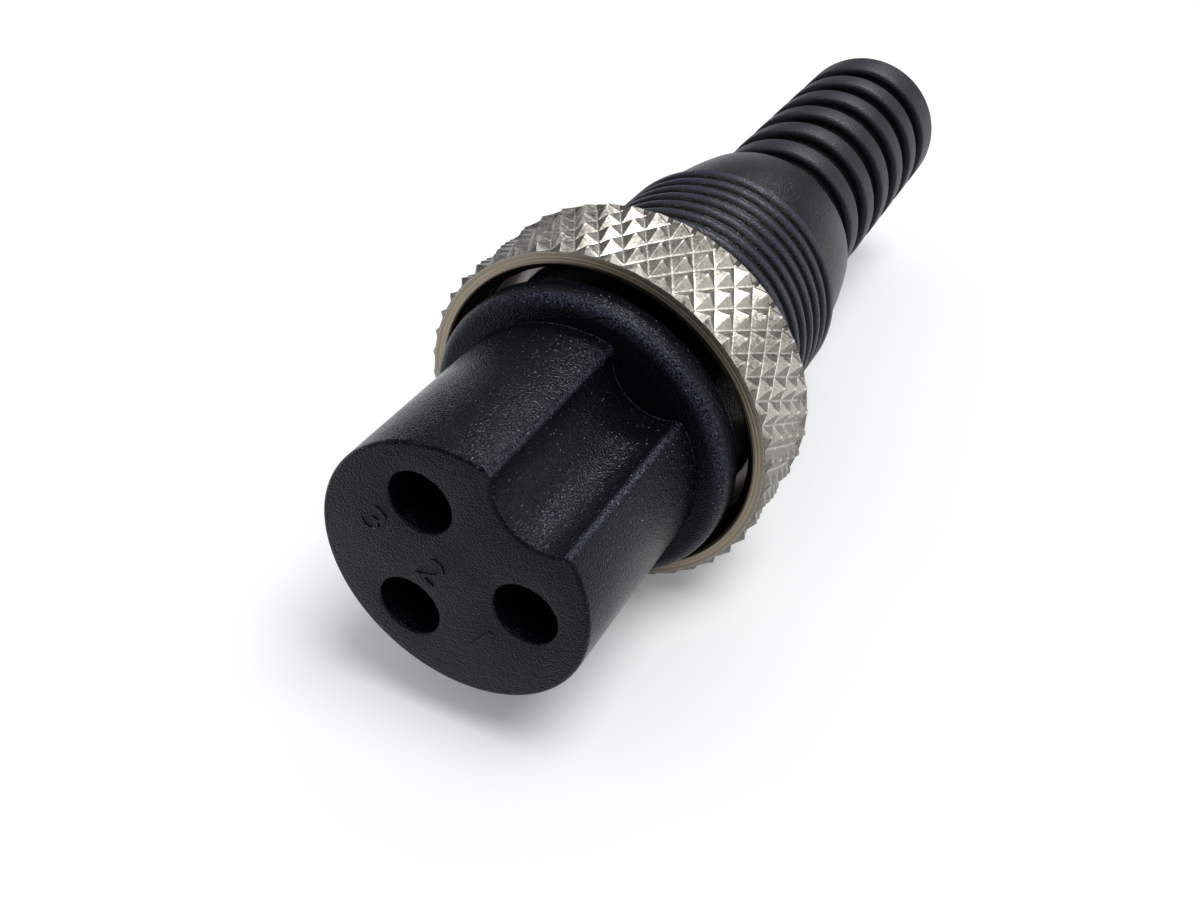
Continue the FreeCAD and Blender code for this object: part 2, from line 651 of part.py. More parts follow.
def strain_relief_boot():
    body = new_body("strain_relief_boot")
    wall = profile(body, "BootProfile", (
        ("cable_bore_radius", "boot_flange_front_at"),
        ("boot_flange_radius", "boot_flange_front_at"),
        ("boot_flange_radius", "cavity_rear_at"),
        ("boot_neck_radius", "cavity_rear_at"),
        ("boot_neck_radius", "rib_front_at"),
        ("boot_radius", "rib_front_at"),
        ("boot_radius", "boot_rear_at"),
        ("cable_mouth_radius", "boot_rear_at"),
        ("cable_bore_radius", "cable_mouth_at"),
    ))
    turned(body, "Revolution", "BootWall", wall)
    gap = profile(body, "RibGapProfile", (
        ("rib_root_radius", "rib_rear_at"),
        ("boot_radius", "rib_rear_at"),
        ("boot_radius", "next_rib_at"),
        ("rib_root_radius", "next_rib_at"),
    ))
    groove = turned(body, "Groove", "RibGap", gap)
    ribs = line_pattern(body, "Ribs", groove, "rib_pitch", "rib_count")
    outer_edges = edge_names(ribs, lambda edge: edge_radius(edge) > value("boot_radius") - NEAR)
    rounded(body, "RibEdges", ribs, outer_edges, "rib_edge_radius")
    placed(body)
    return body


# Checks and export

def check(features):
    for item in doc.Objects:
        if "Invalid" in item.State or "Error" in item.State:
            raise RuntimeError(f"{item.Label} did not recompute: {item.State}")
    for feature in features:
        if feature.Shape.isNull() or not feature.Shape.isValid():
            raise RuntimeError(f"{feature.Label} has no valid shape")


def export(features):
    os.makedirs("parts", exist_ok=True)
    for feature in features:
        feature.Shape.exportStep(os.path.join("parts", f"{feature.Label}.step"))


fill_sheet()
nodes = [contact_insert(), plug_sleeve(), contact_retainer()]
nodes += [socket_contact(number) for number in range(1, CONTACT_COUNT + 1)]
nodes += [snap_ring(), coupling_ring(), backshell(), strain_relief_boot()]
doc.recompute()
check(nodes)
export(nodes)
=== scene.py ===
"""Looks of a locking charging plug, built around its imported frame."""

import math

import bmesh
import bpy
from mathutils import Matrix, Vector


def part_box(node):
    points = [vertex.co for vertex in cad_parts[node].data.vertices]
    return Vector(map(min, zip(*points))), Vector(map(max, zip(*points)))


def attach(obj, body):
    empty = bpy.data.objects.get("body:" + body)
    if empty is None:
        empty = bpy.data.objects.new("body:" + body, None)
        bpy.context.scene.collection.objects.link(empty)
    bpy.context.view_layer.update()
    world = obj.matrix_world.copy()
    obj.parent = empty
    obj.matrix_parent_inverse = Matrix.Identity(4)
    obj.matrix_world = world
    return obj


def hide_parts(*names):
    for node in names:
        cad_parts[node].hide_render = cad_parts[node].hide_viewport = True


bl_info = {
    "name": "Locking charging plug",
    "version": (1, 0, 0),
    "blender": (4, 5, 0),
    "location": "View3D > Sidebar > Plug",
    "description": "Nose, sleeve, screw ring, backshell and boot of a locking charging plug",
    "category": "Object",
}

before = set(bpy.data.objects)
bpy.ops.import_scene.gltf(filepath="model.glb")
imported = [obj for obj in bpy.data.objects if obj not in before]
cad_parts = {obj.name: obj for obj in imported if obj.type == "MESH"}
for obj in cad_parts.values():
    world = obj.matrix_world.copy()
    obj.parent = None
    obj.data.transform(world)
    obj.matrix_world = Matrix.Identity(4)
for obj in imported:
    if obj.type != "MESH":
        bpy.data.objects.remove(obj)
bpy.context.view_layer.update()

MM = 0.001
NOSE_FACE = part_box("contact_insert")[0].y
AXIS_HEIGHT = sum(corner.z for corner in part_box("plug_sleeve")) / 2
ALONG = Vector((0, 1, 0))
UPRIGHT = Matrix.Rotation(math.pi / 2, 4, "X")
WHOLE_TURN = 2 * math.pi
TURN_STEPS = 180
HOLE_STEPS = TURN_STEPS // 3
KEYWAY_STEPS = TURN_STEPS // 6
ROUND_STEPS = 5
BAND_STEPS = 4 * ROUND_STEPS
BREAK_STEPS = 2
MERGE_GAP = MM / 1000
HAIR = 0.02 * MM
SHARP_ANGLE = math.radians(32)
# Vertex weight for the painted highlight on the nylon's edges
HIGHLIGHT_WEIGHT = "painted_highlight"
# Vertex weight for the face and holes, which the nylon's painted glints are left off
GLINT_FREE = "glint_free"


# Places and sizes in the frame

def front(node):
    """Distance from the nose face to the front of a CAD node."""
    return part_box(node)[0].y - NOSE_FACE


def rear(node):
    """Distance from the nose face to the back of a CAD node."""
    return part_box(node)[1].y - NOSE_FACE


def half_width(node):
    """Largest radius of a CAD node about the plug's axis."""
    low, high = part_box(node)
    return (high.x - low.x) / 2


def on_axis(station):
    """The point of the plug's axis at a distance behind the nose face."""
    return Vector((0, NOSE_FACE + station, AXIS_HEIGHT))


def off_axis(radius, turn, station):
    """A point beside the axis, turned from straight up towards +X."""
    return on_axis(station) + radius * Vector((math.sin(turn), 0, math.cos(turn)))


# Properties

def linear(code):
    """Linear colour of an sRGB hex code, with full alpha."""
    parts = [int(code[start:start + 2], 16) / 255 for start in (1, 3, 5)]
    return (*(p / 12.92 if p <= 0.04045 else ((p + 0.055) / 1.055) ** 2.4 for p in parts), 1.0)


def length(name, description, default):
    return bpy.props.FloatProperty(
        name=name, description=description, default=default, min=0, unit="LENGTH", precision=5)


def angle(name, description, degrees):
    return bpy.props.FloatProperty(
        name=name, description=description, default=math.radians(degrees), subtype="ANGLE")


def number(name, description, default):
    return bpy.props.IntProperty(name=name, description=description, default=default, min=1)


def colour(name, description, code):
    return bpy.props.FloatVectorProperty(
        name=name, description=description, default=linear(code), size=4, min=0, max=1, subtype="COLOR")


class NoseSizes(bpy.types.PropertyGroup):
    radius: length("Radius", "Outside of the nose", half_width("contact_insert"))
    length: length("Length", "Nose face to flange", front("plug_sleeve"))
    edge: length("Face edge", "Rounding round the nose face", 0.18 * MM)
    keyway_radius: length("Keyway radius", "Round bottom of the keyway", 2.3 * MM)
    keyway_depth: length("Keyway depth", "Keyway below the nose's round", 1.7 * MM)
    keyway_corner: length("Keyway corner", "Rounding of the keyway's long edges", 0.36 * MM)
    keyway_turn: angle("Keyway turn", "Keyway from straight up, towards +X", 40.5)
    hole_radius: length("Hole radius", "Contact hole in the face", 1.45 * MM)
    hole_edge: length("Hole edge", "Rounding of a contact hole's rim", 0.1 * MM)
    hole_circle: length("Hole circle", "Axis to the middle of a contact hole", 3.45 * MM)
    hole_depth: length("Hole depth", "Face to the bottom of a contact hole", 9.8 * MM)
    joint: length("Joint", "Broken edge where the nose meets the flange", 0.09 * MM)
    shank_radius: length("Shank radius", "Part of the insert inside the sleeve", 4.95 * MM)
    digit_height: length("Digit height", "Contact numbers in the face", 2.2 * MM)
    digit_relief: length("Digit relief", "Contact numbers above the face", 0.04 * MM)


class SleeveSizes(bpy.types.PropertyGroup):
    radius: length("Flange radius", "Outside of the flange", half_width("plug_sleeve"))
    thickness: length("Flange thickness", "Flange along the axis", 1.6 * MM)
    edge: length("Flange edge", "Round front edge of the flange", 0.65 * MM)
    rear_edge: length("Flange rear edge", "Rounding of the flange's back", 0.15 * MM)
    neck_radius: length("Neck radius", "Neck that the ring runs on", 6.6 * MM)
    tail_radius: length("Tail radius", "Threaded tail inside the backshell", 5.77 * MM)
    bore_radius: length("Bore radius", "Space for the contact retainer", 5.17 * MM)
    seat_radius: length("Seat radius", "Front opening behind the keyway", 4.5 * MM)
    seat_depth: length("Seat depth", "Thickness of the front wall", 1 * MM)
    ledge_length: length("Ledge length", "Ledge that holds the insert", 3 * MM)
    shank_play: length("Shank play", "Gap round the insert's shank", 0.05 * MM)


class RingSizes(bpy.types.PropertyGroup):
    radius: length("Radius", "Outside over the knurl's tips", half_width("coupling_ring"))
    teeth: number("Teeth", "Pyramids round the ring", 45)
    lean: angle("Lean", "Knurl's lines from the axis", 30)
    depth: length("Knurl depth", "Height of the knurl's pyramids", 0.38 * MM)
    worn_edge: length("Worn edge", "Rounding of the pyramids' edges", 0.028 * MM)
    lip_radius: length("Lip radius", "Outside of the flat lip", 8.65 * MM)
    lip_chamfer: length("Lip chamfer", "Chamfer from the lip to the knurl", 0.28 * MM)
    back_radius: length("Back radius", "Outside of the flat back", 8.78 * MM)
    back_chamfer: length("Back chamfer", "Chamfer from the back to the knurl", 0.12 * MM)
    mouth_radius: length("Mouth radius", "Inner edge of the lip", 8.1 * MM)
    crest_radius: length("Crest radius", "Crests of the inner thread", 7.7 * MM)
    root_radius: length("Root radius", "Roots of the inner thread", 8.05 * MM)
    pitch: length("Pitch", "Turn to turn of the inner thread", 1 * MM)
    thread_length: length("Thread length", "Lip to the end of the thread", 2.7 * MM)
    lining_wall: length("Lining wall", "Thickness of the thread's turns", 0.05 * MM)
    lining_room: length("Lining room", "Thread's roots to the wall behind", 0.15 * MM)
    groove_radius: length("Groove radius", "Bottom of the snap ring's groove", 8.1 * MM)
    groove_play: length("Groove play", "Gap beside the snap ring", 0.05 * MM)


class ClipSizes(bpy.types.PropertyGroup):
    outer_radius: length("Outer radius", "Outside of the snap ring", half_width("snap_ring"))
    inner_radius: length("Inner radius", "Bore of the snap ring", 6.85 * MM)
    edge: length("Edge", "Rounding of the snap ring's edges", 0.08 * MM)
    gap: angle("Gap", "Open part of the snap ring", 22)


class ShellSizes(bpy.types.PropertyGroup):
    collar_radius: length("Collar radius", "Collar that the ring stops against", half_width("backshell"))
    collar_length: length("Collar length", "Collar along the axis", 1.45 * MM)
    ridge_radius: length("Ridge radius", "Tops of the grip ridges", 6.62 * MM)
    ridge_depth: length("Ridge depth", "Height of a grip ridge", 0.19 * MM)
    ridge_pitch: length("Ridge pitch", "Ridge to ridge", 1 * MM)
    ridge_count: number("Ridge count", "Number of grip ridges", 9)
    crest: length("Crest", "Top of a ridge", 0.42 * MM)
    valley: length("Valley", "Flat bottom between ridges", 0.2 * MM)
    ridge_edge: length("Ridge edge", "Rounding of the ridges", 0.18 * MM)
    band_radius: length("Band radius", "Front of the plain band", 6.22 * MM)
    band_rear_radius: length("Band rear radius", "Back of the plain band", 5.5 * MM)
    band_crown: length("Band crown", "Barrel curve of the plain band", 28 * MM)
    rear_edge: length("Rear edge", "Rounding of the rear edge", 0.28 * MM)
    bore_radius: length("Bore radius", "Bore for the sleeve's tail", 5.82 * MM)
    cavity_radius: length("Cavity radius", "Wiring space at its back", 4.85 * MM)
    rear_wall: length("Rear wall", "Wall that the boot passes through", 1.3 * MM)


class BootSizes(bpy.types.PropertyGroup):
    radius: length("Radius", "Outside of the ribs", half_width("strain_relief_boot"))
    flange_radius: length("Flange radius", "Flange inside the backshell", 4.75 * MM)
    flange_length: length("Flange length", "Flange along the axis", 1.3 * MM)
    neck_radius: length("Neck radius", "Neck through the backshell", 4.1 * MM)
    neck_length: length("Neck length", "Backshell to the first rib", 2.5 * MM)
    rib_pitch: length("Rib pitch", "Rib to rib", 3 * MM)
    rib_width: length("Rib width", "Rib along the axis", 1.75 * MM)
    rib_count: number("Rib count", "Ribs before the end collar", 5)
    rib_edge: length("Rib edge", "Rounding of the ribs", 0.35 * MM)
    groove_radius: length("Groove radius", "Bottom of the grooves", 4 * MM)
    bore_radius: length("Bore radius", "Cable bore", 3.5 * MM)
    mouth: length("Mouth", "Chamfer where the cable enters", 0.6 * MM)


class Finishes(bpy.types.PropertyGroup):
    nylon: colour("Nylon", "Nose and sleeve", "#050608")
    nylon_worn: colour("Nylon, worn", "Grain tops of the nose and sleeve", "#0f1118")
    # Painted highlight on the nylon's edges and in a line just in front of the flange
    nylon_rubbed: colour("Nylon, rubbed", "Edges of the nose and flange", "#383e4b")
    # Painted glints on the nylon
    nylon_fleck: colour("Nylon flecks", "Glass flecks in the nose", "#8a93a8")
    nylon_sheen: colour("Nylon sheen", "Tint of the nylon's highlights", "#e0e7ff")
    shell: colour("Shell", "Backshell", "#060708")
    # Painted highlight on the ridges' crests, and an even tone on the plain band
    shell_worn: colour("Shell, worn", "Rubbed ridges of the backshell", "#282c37")
    rubber: colour("Rubber", "Boot", "#040405")
    # Bloom on the ribs only: the grooves stay dark as painted shade
    rubber_worn: colour("Rubber, worn", "Bloom on the boot", "#1b1d24")
    # Painted highlight on the knurl's tips and valley lines
    nickel: colour("Nickel", "Plating on the knurl's tips and valley lines", "#cbc7bf")
    nickel_dull: colour("Nickel, dull", "Plating on the flanks of the knurl", "#88847d")
    nickel_stained: colour("Nickel, stained", "Plating on the lip", "#9d9180")
    # Painted shade inside the screw ring's bore
    nickel_bore: colour("Nickel, bore", "Dirty plating on the inner thread", "#2e2923")
    brass: colour("Brass", "Contacts", "#c9a961")
    spring: colour("Spring steel", "Snap ring", "#cfc9bf")
    floor: colour("Floor", "Floor of the stage", "#ffffff")


GROUPS = {
    "plug_nose": NoseSizes,
    "plug_sleeve": SleeveSizes,
    "plug_ring": RingSizes,
    "plug_clip": ClipSizes,
    "plug_shell": ShellSizes,
    "plug_boot": BootSizes,
    "plug_finishes": Finishes,
}


# Meshes

def kind(items, wanted):
    """The vertices, edges or faces among the items that a mesh operator returned."""
    return [item for item in items if isinstance(item, wanted)]


def profile_point(bm, radius, station):
    """A new vertex in the plane that profiles are drawn in."""
    return bm.verts.new(on_axis(station) + Vector((radius, 0, 0)))


def round_off(bm, geom, size, affect, steps=ROUND_STEPS):
    """Rounds corners of a wire or edges of a mesh, and gives the new vertices."""
    return bmesh.ops.bevel(bm, geom=geom, offset=size, offset_type="OFFSET", affect=affect,
                           segments=steps, profile=0.5, material=-1)["verts"]


def draw_profile(bm, corners, closed=True):
    """Draws a wire from corners of (radius, station, rounding) in the plane through the axis."""
    points = [profile_point(bm, radius, station) for radius, station, rounding in corners]
    followers = points[1:] + points[:1] if closed else points[1:]
    for point, follower in zip(points, followers):
        bm.edges.new((point, follower))
    for point, (radius, station, rounding) in zip(points, corners):
        if rounding:
            round_off(bm, [point], rounding, "VERTICES")


def draw_arc(bm, first, centre, axis, sweep, steps):
    """Draws an arc from a vertex, and gives the vertices at both ends."""
    spun = bmesh.ops.spin(bm, geom=[first], cent=centre, axis=axis, dvec=(0, 0, 0),
                          angle=sweep, steps=steps)
    return first, kind(spun["geom_last"], bmesh.types.BMVert)[0]


def draw_circle(bm, radius, steps, centre):
    """Draws a circle square to the axis, and gives its edges in a fixed order."""
    drawn = bmesh.ops.create_circle(bm, cap_ends=False, radius=radius, segments=steps,
                                    matrix=Matrix.Translation(centre) @ UPRIGHT)
    return list(dict.fromkeys(edge for vertex in drawn["verts"] for edge in vertex.link_edges))


def turn_profile(bm, sweep=WHOLE_TURN):
    """Spins the drawn wire about the plug's axis and closes it."""
    bmesh.ops.spin(bm, geom=bm.verts[:] + bm.edges[:], cent=on_axis(0), axis=ALONG, dvec=(0, 0, 0),
                   angle=sweep, steps=TURN_STEPS, use_merge=sweep == WHOLE_TURN)
    bmesh.ops.remove_doubles(bm, verts=bm.verts, dist=MERGE_GAP)
    bmesh.ops.holes_fill(bm, edges=[edge for edge in bm.edges if edge.is_boundary], sides=0)
    bmesh.ops.recalc_face_normals(bm, faces=bm.faces)


def end_face(bm, pick):
    """The front face of a mesh with min, the back face with max."""
    return pick(bm.faces, key=lambda face: face.calc_center_median().y)


def open_end(bm, pick):
    """Takes away the front or back face, and gives its rim."""
    face = end_face(bm, pick)
    rim = face.edges[:]
    bmesh.ops.delete(bm, geom=[face], context="FACES_ONLY")
    return rim


def cut_off(bm, station, outward):
    """Cuts off what lies beyond a station."""
    bmesh.ops.bisect_plane(bm, geom=bm.verts[:] + bm.edges[:] + bm.faces[:], plane_co=on_axis(station),
                           plane_no=outward, clear_outer=True)


def loop_to_circle(bm, edges, radius, station):
    """Extrudes a loop of edges to a circle about the axis, and gives the new loop."""
    drawn = bmesh.ops.extrude_edge_only(bm, edges=edges)["geom"]
    for vertex in kind(drawn, bmesh.types.BMVert):
        outward = Vector((vertex.co.x, 0, vertex.co.z - AXIS_HEIGHT)).normalized()
        vertex.co = on_axis(station) + radius * outward
    return kind(drawn, bmesh.types.BMEdge)


def add_shell(bm, shell):
    """Moves a finished shell into another mesh as it is."""
    mesh = bpy.data.meshes.new("shell")
    shell.to_mesh(mesh)
    shell.free()
    bm.from_mesh(mesh)
    bpy.data.meshes.remove(mesh)


def finish_piece(bm, name, material, body, node):
    """Makes the mesh a piece that stands for a CAD node."""
    if any(not edge.is_manifold for edge in bm.edges):
        raise RuntimeError(f"{name} is not closed")
    mesh = bpy.data.meshes.new(name)
    bm.to_mesh(mesh)
    bm.free()
    mesh.set_sharp_from_angle(angle=SHARP_ANGLE)
    mesh.materials.append(material)
    piece = bpy.data.objects.new(name, mesh)
    bpy.context.scene.collection.objects.link(piece)
    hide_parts(node)
    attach(piece, body)


def smooth_faces(bm):
    """Shades all faces smooth up to the sharp edges."""
    for face in bm.faces:
        face.smooth = True


# Shader nodes

def per(size):
    """Texture scale for a pattern whose cells are that many millimetres across."""
    return 1 / (size * MM)


def set_inputs(tree, node, inputs):
    """Links or fills a node's inputs."""
    for socket, source in inputs.items():
        if isinstance(source, bpy.types.NodeSocket):
            tree.links.new(source, node.inputs[socket])
        else:
            node.inputs[socket].default_value = source


def add_node(tree, kind_of_node, inputs=None, **settings):
    """Adds a shader node with its settings and inputs."""
    node = tree.nodes.new(f"ShaderNode{kind_of_node}")
    for name, setting in settings.items():
        setattr(node, name, setting)
    set_inputs(tree, node, inputs or {})
    return node


def place_on(tree):
    """The place on the piece, which every pattern starts from."""
    return add_node(tree, "TexCoord").outputs["Object"]


def axis_distance(tree, place):
    """Distance of a place on a piece from the plug's axis."""
    shift = {"Location": (0, 0, -AXIS_HEIGHT), "Scale": (1, 0, 1)}
    across = add_node(tree, "Mapping", {"Vector": place, **shift}).outputs["Vector"]
    return add_node(tree, "VectorMath", {0: across}, operation="LENGTH").outputs["Value"]


def noise(tree, place, size, detail):
    """Cloudy noise with patches that many millimetres across."""
    pattern = {"Vector": place, "Scale": per(size), "Detail": detail}
    return add_node(tree, "TexNoise", pattern).outputs["Fac"]


def remap(tree, value, low, high, to_low=0.0, to_high=1.0):
    """Stretches the values from low to high over a new range, and clamps the others."""
    limits = {"From Min": low, "From Max": high, "To Min": to_low, "To Max": to_high}
    return add_node(tree, "MapRange", {"Value": value, **limits}).outputs["Result"]


def reckon(tree, operation, *values, **settings):
    """Reckons with two or three values."""
    return add_node(tree, "Math", dict(enumerate(values)), operation=operation, **settings).outputs[0]


def mix_values(tree, share, first, second):
    """Goes from one value to another by a share."""
    return add_node(tree, "Mix", {0: share, 2: first, 3: second}).outputs[0]


def mix_colours(tree, share, first, second, way="MIX"):
    """Goes from one colour to another by a share."""
    parts = {0: share, 6: first, 7: second}
    return add_node(tree, "Mix", parts, data_type="RGBA", blend_type=way).outputs[2]


def bump(tree, height, strength, depth):
    """Relief of that many millimetres."""
    relief = add_node(tree, "Bump", {"Height": height, "Strength": strength, "Distance": depth * MM})
    return relief.outputs["Normal"]


# Materials

# Painted highlight in a line on the nose just in front of the flange: its distance from the flange and its
# half-width
JOINT_HIGHLIGHT_OFFSET = 0.1 * MM
JOINT_HIGHLIGHT_WIDTH = 0.06 * MM
WAVE_RATE = 20

# Feed of the lathe tool in millimetres
BRASS_FEED = 0.08
SPRING_FEED = 0.1


def new_material(name):
    """An empty material with its tree and its shader."""
    material = bpy.data.materials.new(name)
    material.use_nodes = True
    tree = material.node_tree
    tree.nodes.clear()
    shader = add_node(tree, "BsdfPrincipled")
    add_node(tree, "OutputMaterial", {"Surface": shader.outputs["BSDF"]})
    return material, tree, shader


def glass_filled_nylon(finishes):
    """Black nylon with glass fibre, moulded in a spark-eroded tool.

    The tool leaves a leathery grain. The edges and a line just in front of the flange are painted paler: a
    painted highlight, broken up by the grain.
    Pale flecks are painted glints, left off the face and out of the holes.
    """
    material, tree, shader = new_material("glass_filled_nylon")
    place = place_on(tree)
    tone = noise(tree, place, size=1.6, detail=2.0)
    grain = noise(tree, place, size=0.09, detail=1.0)
    tops = remap(tree, grain, 0.4, 0.72)
    body = mix_colours(tree, tops, finishes.nylon, finishes.nylon_worn)
    # Painted highlight on the keyway's corners and the flange's edge, from their vertex weight, and in a
    # line just in front of the flange, broken up by the grain
    edges = add_node(tree, "Attribute", attribute_name=HIGHLIGHT_WEIGHT).outputs["Fac"]
    station = add_node(tree, "SeparateXYZ", {0: place}).outputs["Y"]
    joint = reckon(tree, "COMPARE", station, NOSE_FACE + front("plug_sleeve") - JOINT_HIGHLIGHT_OFFSET, JOINT_HIGHLIGHT_WIDTH)
    painted_highlight = reckon(tree, "MAXIMUM", edges, joint)
    pale = reckon(tree, "MULTIPLY", painted_highlight, tops)
    edged = mix_colours(tree, pale, body, finishes.nylon_rubbed)
    # Painted glints: pale flecks, left off the face and out of the holes
    cells = add_node(tree, "TexVoronoi", {"Vector": place, "Scale": per(0.11)}).outputs
    spot = remap(tree, cells["Distance"], 0.12, 0.34, 1.0, 0.0)
    chosen = remap(tree, cells["Color"], 0.8, 1.0)
    glint_free = add_node(tree, "Attribute", attribute_name=GLINT_FREE).outputs["Fac"]
    shown = reckon(tree, "SUBTRACT", chosen, glint_free, use_clamp=True)
    painted_glint = reckon(tree, "MULTIPLY", spot, shown)
    set_inputs(tree, shader, {
        "Base Color": mix_colours(tree, painted_glint, edged, finishes.nylon_fleck),
        "Roughness": remap(tree, tone, 0.3, 0.7, 0.17, 0.25),
        "Specular IOR Level": 0.1,
        "Specular Tint": finishes.nylon_sheen,
        "Normal": bump(tree, grain, strength=1.0, depth=0.05),
    })
    return material


def matt_abs(finishes, shell):
    """Black ABS from a finely blasted tool: matt. The ridges' crests are painted paler than their valleys,
    a painted highlight, and the plain band gets a faint even share of that paler colour.
    """
    material, tree, shader = new_material("matt_abs")
    place = place_on(tree)
    grain = noise(tree, place, size=0.1, detail=1.0)
    radius = axis_distance(tree, place)
    # Painted highlight: paler towards the ridges' crests and darkest in the valleys; the plain band gets a
    # faint even share of the paler colour as its tone
    crest = remap(tree, radius, shell.ridge_radius - shell.ridge_depth / 2, shell.ridge_radius)
    band = remap(tree, radius, shell.band_radius, shell.ridge_radius - shell.ridge_depth, 0.18, 0.0)
    painted_highlight = reckon(tree, "MAXIMUM", crest, band)
    highlight_and_band_tone = reckon(tree, "MULTIPLY", painted_highlight, remap(tree, grain, 0.35, 0.7, 0.6, 1.0))
    set_inputs(tree, shader, {
        "Base Color": mix_colours(tree, highlight_and_band_tone, finishes.shell, finishes.shell_worn),
        "Roughness": 0.3,
        "Specular IOR Level": 0.12,
        "Normal": bump(tree, grain, strength=1.0, depth=0.04),
    })
    return material


def moulded_rubber(finishes, boot):
    """Black thermoplastic rubber with a soft sheen. Bloom in pale patches lies only on the ribs, so that
    the grooves stay dark as painted shade.
    """
    material, tree, shader = new_material("moulded_rubber")
    place = place_on(tree)
    patches = remap(tree, noise(tree, place, size=2.2, detail=3.0), 0.3, 0.7, 0.55, 1.0)
    grain = noise(tree, place, size=0.12, detail=1.0)
    # Painted shade: the bloom fades out into the grooves, which stay dark
    painted_rib_light = remap(tree, axis_distance(tree, place), (boot.groove_radius + boot.radius) / 2, boot.radius)
    bloom_and_rib_light = reckon(tree, "MULTIPLY", painted_rib_light, patches)
    set_inputs(tree, shader, {
        "Base Color": mix_colours(tree, bloom_and_rib_light, finishes.rubber, finishes.rubber_worn),
        "Roughness": 0.42,
        "Specular IOR Level": 0.16,
        "Normal": bump(tree, grain, strength=1.0, depth=0.04),
    })
    return material


def nickel_plated_brass(finishes, ring):
    """Turned and knurled brass under nickel.

    The knurl's tips and the sharp lines between its pyramids are painted paler than its flanks: a painted
    highlight.
    Its flanks are dull and dented from rolling.
    The lip is stained and shows the fine rings of the lathe tool; the bore is painted darker: painted
    shade.
    """
    material, tree, shader = new_material("nickel_plated_brass")
    place = place_on(tree)
    radius = axis_distance(tree, place)
    low = ring.radius - ring.depth
    knurled = reckon(tree, "GREATER_THAN", radius, low)
    inside = reckon(tree, "LESS_THAN", radius, ring.mouth_radius - HAIR)
    dents = noise(tree, place, size=0.14, detail=3.0)
    turning = add_node(tree, "TexNoise", {"W": radius, "Scale": per(0.12), "Detail": 3.0},
                       noise_dimensions="1D").outputs["Fac"]
    marks = mix_values(tree, knurled, turning, dents)
    # Painted highlight: the knurl's tips and the valley lines between its pyramids get the paler colour,
    # the flanks the dull one
    flanks = add_node(tree, "ValToRGB", {0: remap(tree, radius, low, ring.radius)})
    stops = flanks.color_ramp.elements
    stops[0].color = finishes.nickel
    stops[1].color = finishes.nickel
    for position in (0.12, 0.75):
        stops.new(position).color = finishes.nickel_dull
    outside = mix_colours(tree, knurled, finishes.nickel_stained, flanks.outputs["Color"])
    # Painted shade: darker inside the bore
    plating = mix_colours(tree, inside, outside, finishes.nickel_bore)
    shade = remap(tree, marks, 0.3, 0.7, 0.5, 1.1)
    set_inputs(tree, shader, {
        "Base Color": mix_colours(tree, 1.0, plating, shade, way="MULTIPLY"),
        "Metallic": 1.0,
        "Roughness": remap(tree, marks, 0.3, 0.7, 0.28, 0.5),
        "Normal": bump(tree, marks, strength=0.5, depth=0.03),
    })
    return material


def turned_metal(name, tint, feed):
    """Bare metal from the lathe: fine rings left by the tool's feed, in millimetres."""
    material, tree, shader = new_material(name)
    wave = {"Vector": place_on(tree), "Scale": per(feed) / WAVE_RATE, "Distortion": 0.6, "Detail": 2.0}
    rings = add_node(tree, "TexWave", wave, bands_direction="Y").outputs["Fac"]
    set_inputs(tree, shader, {
        "Base Color": tint,
        "Metallic": 1.0,
        "Roughness": remap(tree, rings, 0.0, 1.0, 0.26, 0.4),
        "Normal": bump(tree, rings, strength=0.2, depth=0.01),
    })
    return material


def paint_node(node, material):
    """Gives a CAD node that stays in view its finish."""
    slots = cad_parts[node].data.materials
    slots.clear()
    slots.append(material)


def shared_nylon(finishes):
    """The nylon of nose, sleeve and retainer, made by the first of them."""
    return bpy.data.materials.get("glass_filled_nylon") or glass_filled_nylon(finishes)


# Nose and sleeve

CORNER_ROOM = 1.05
# Strength of the painted highlight on the keyway's rounded corners
EDGE_HIGHLIGHT_GAIN = 2.2
CONTACTS = 3

# Degrees from the keyway to the first contact hole, and from hole to hole
FIRST_HOLE = 60
HOLE_TURN = 120

# Contact numbers with their millimetres from the axis and degrees from the keyway
DIGITS = ((3, 3.85, -108), (2, 1.0, -148), (1, 3.25, 118))


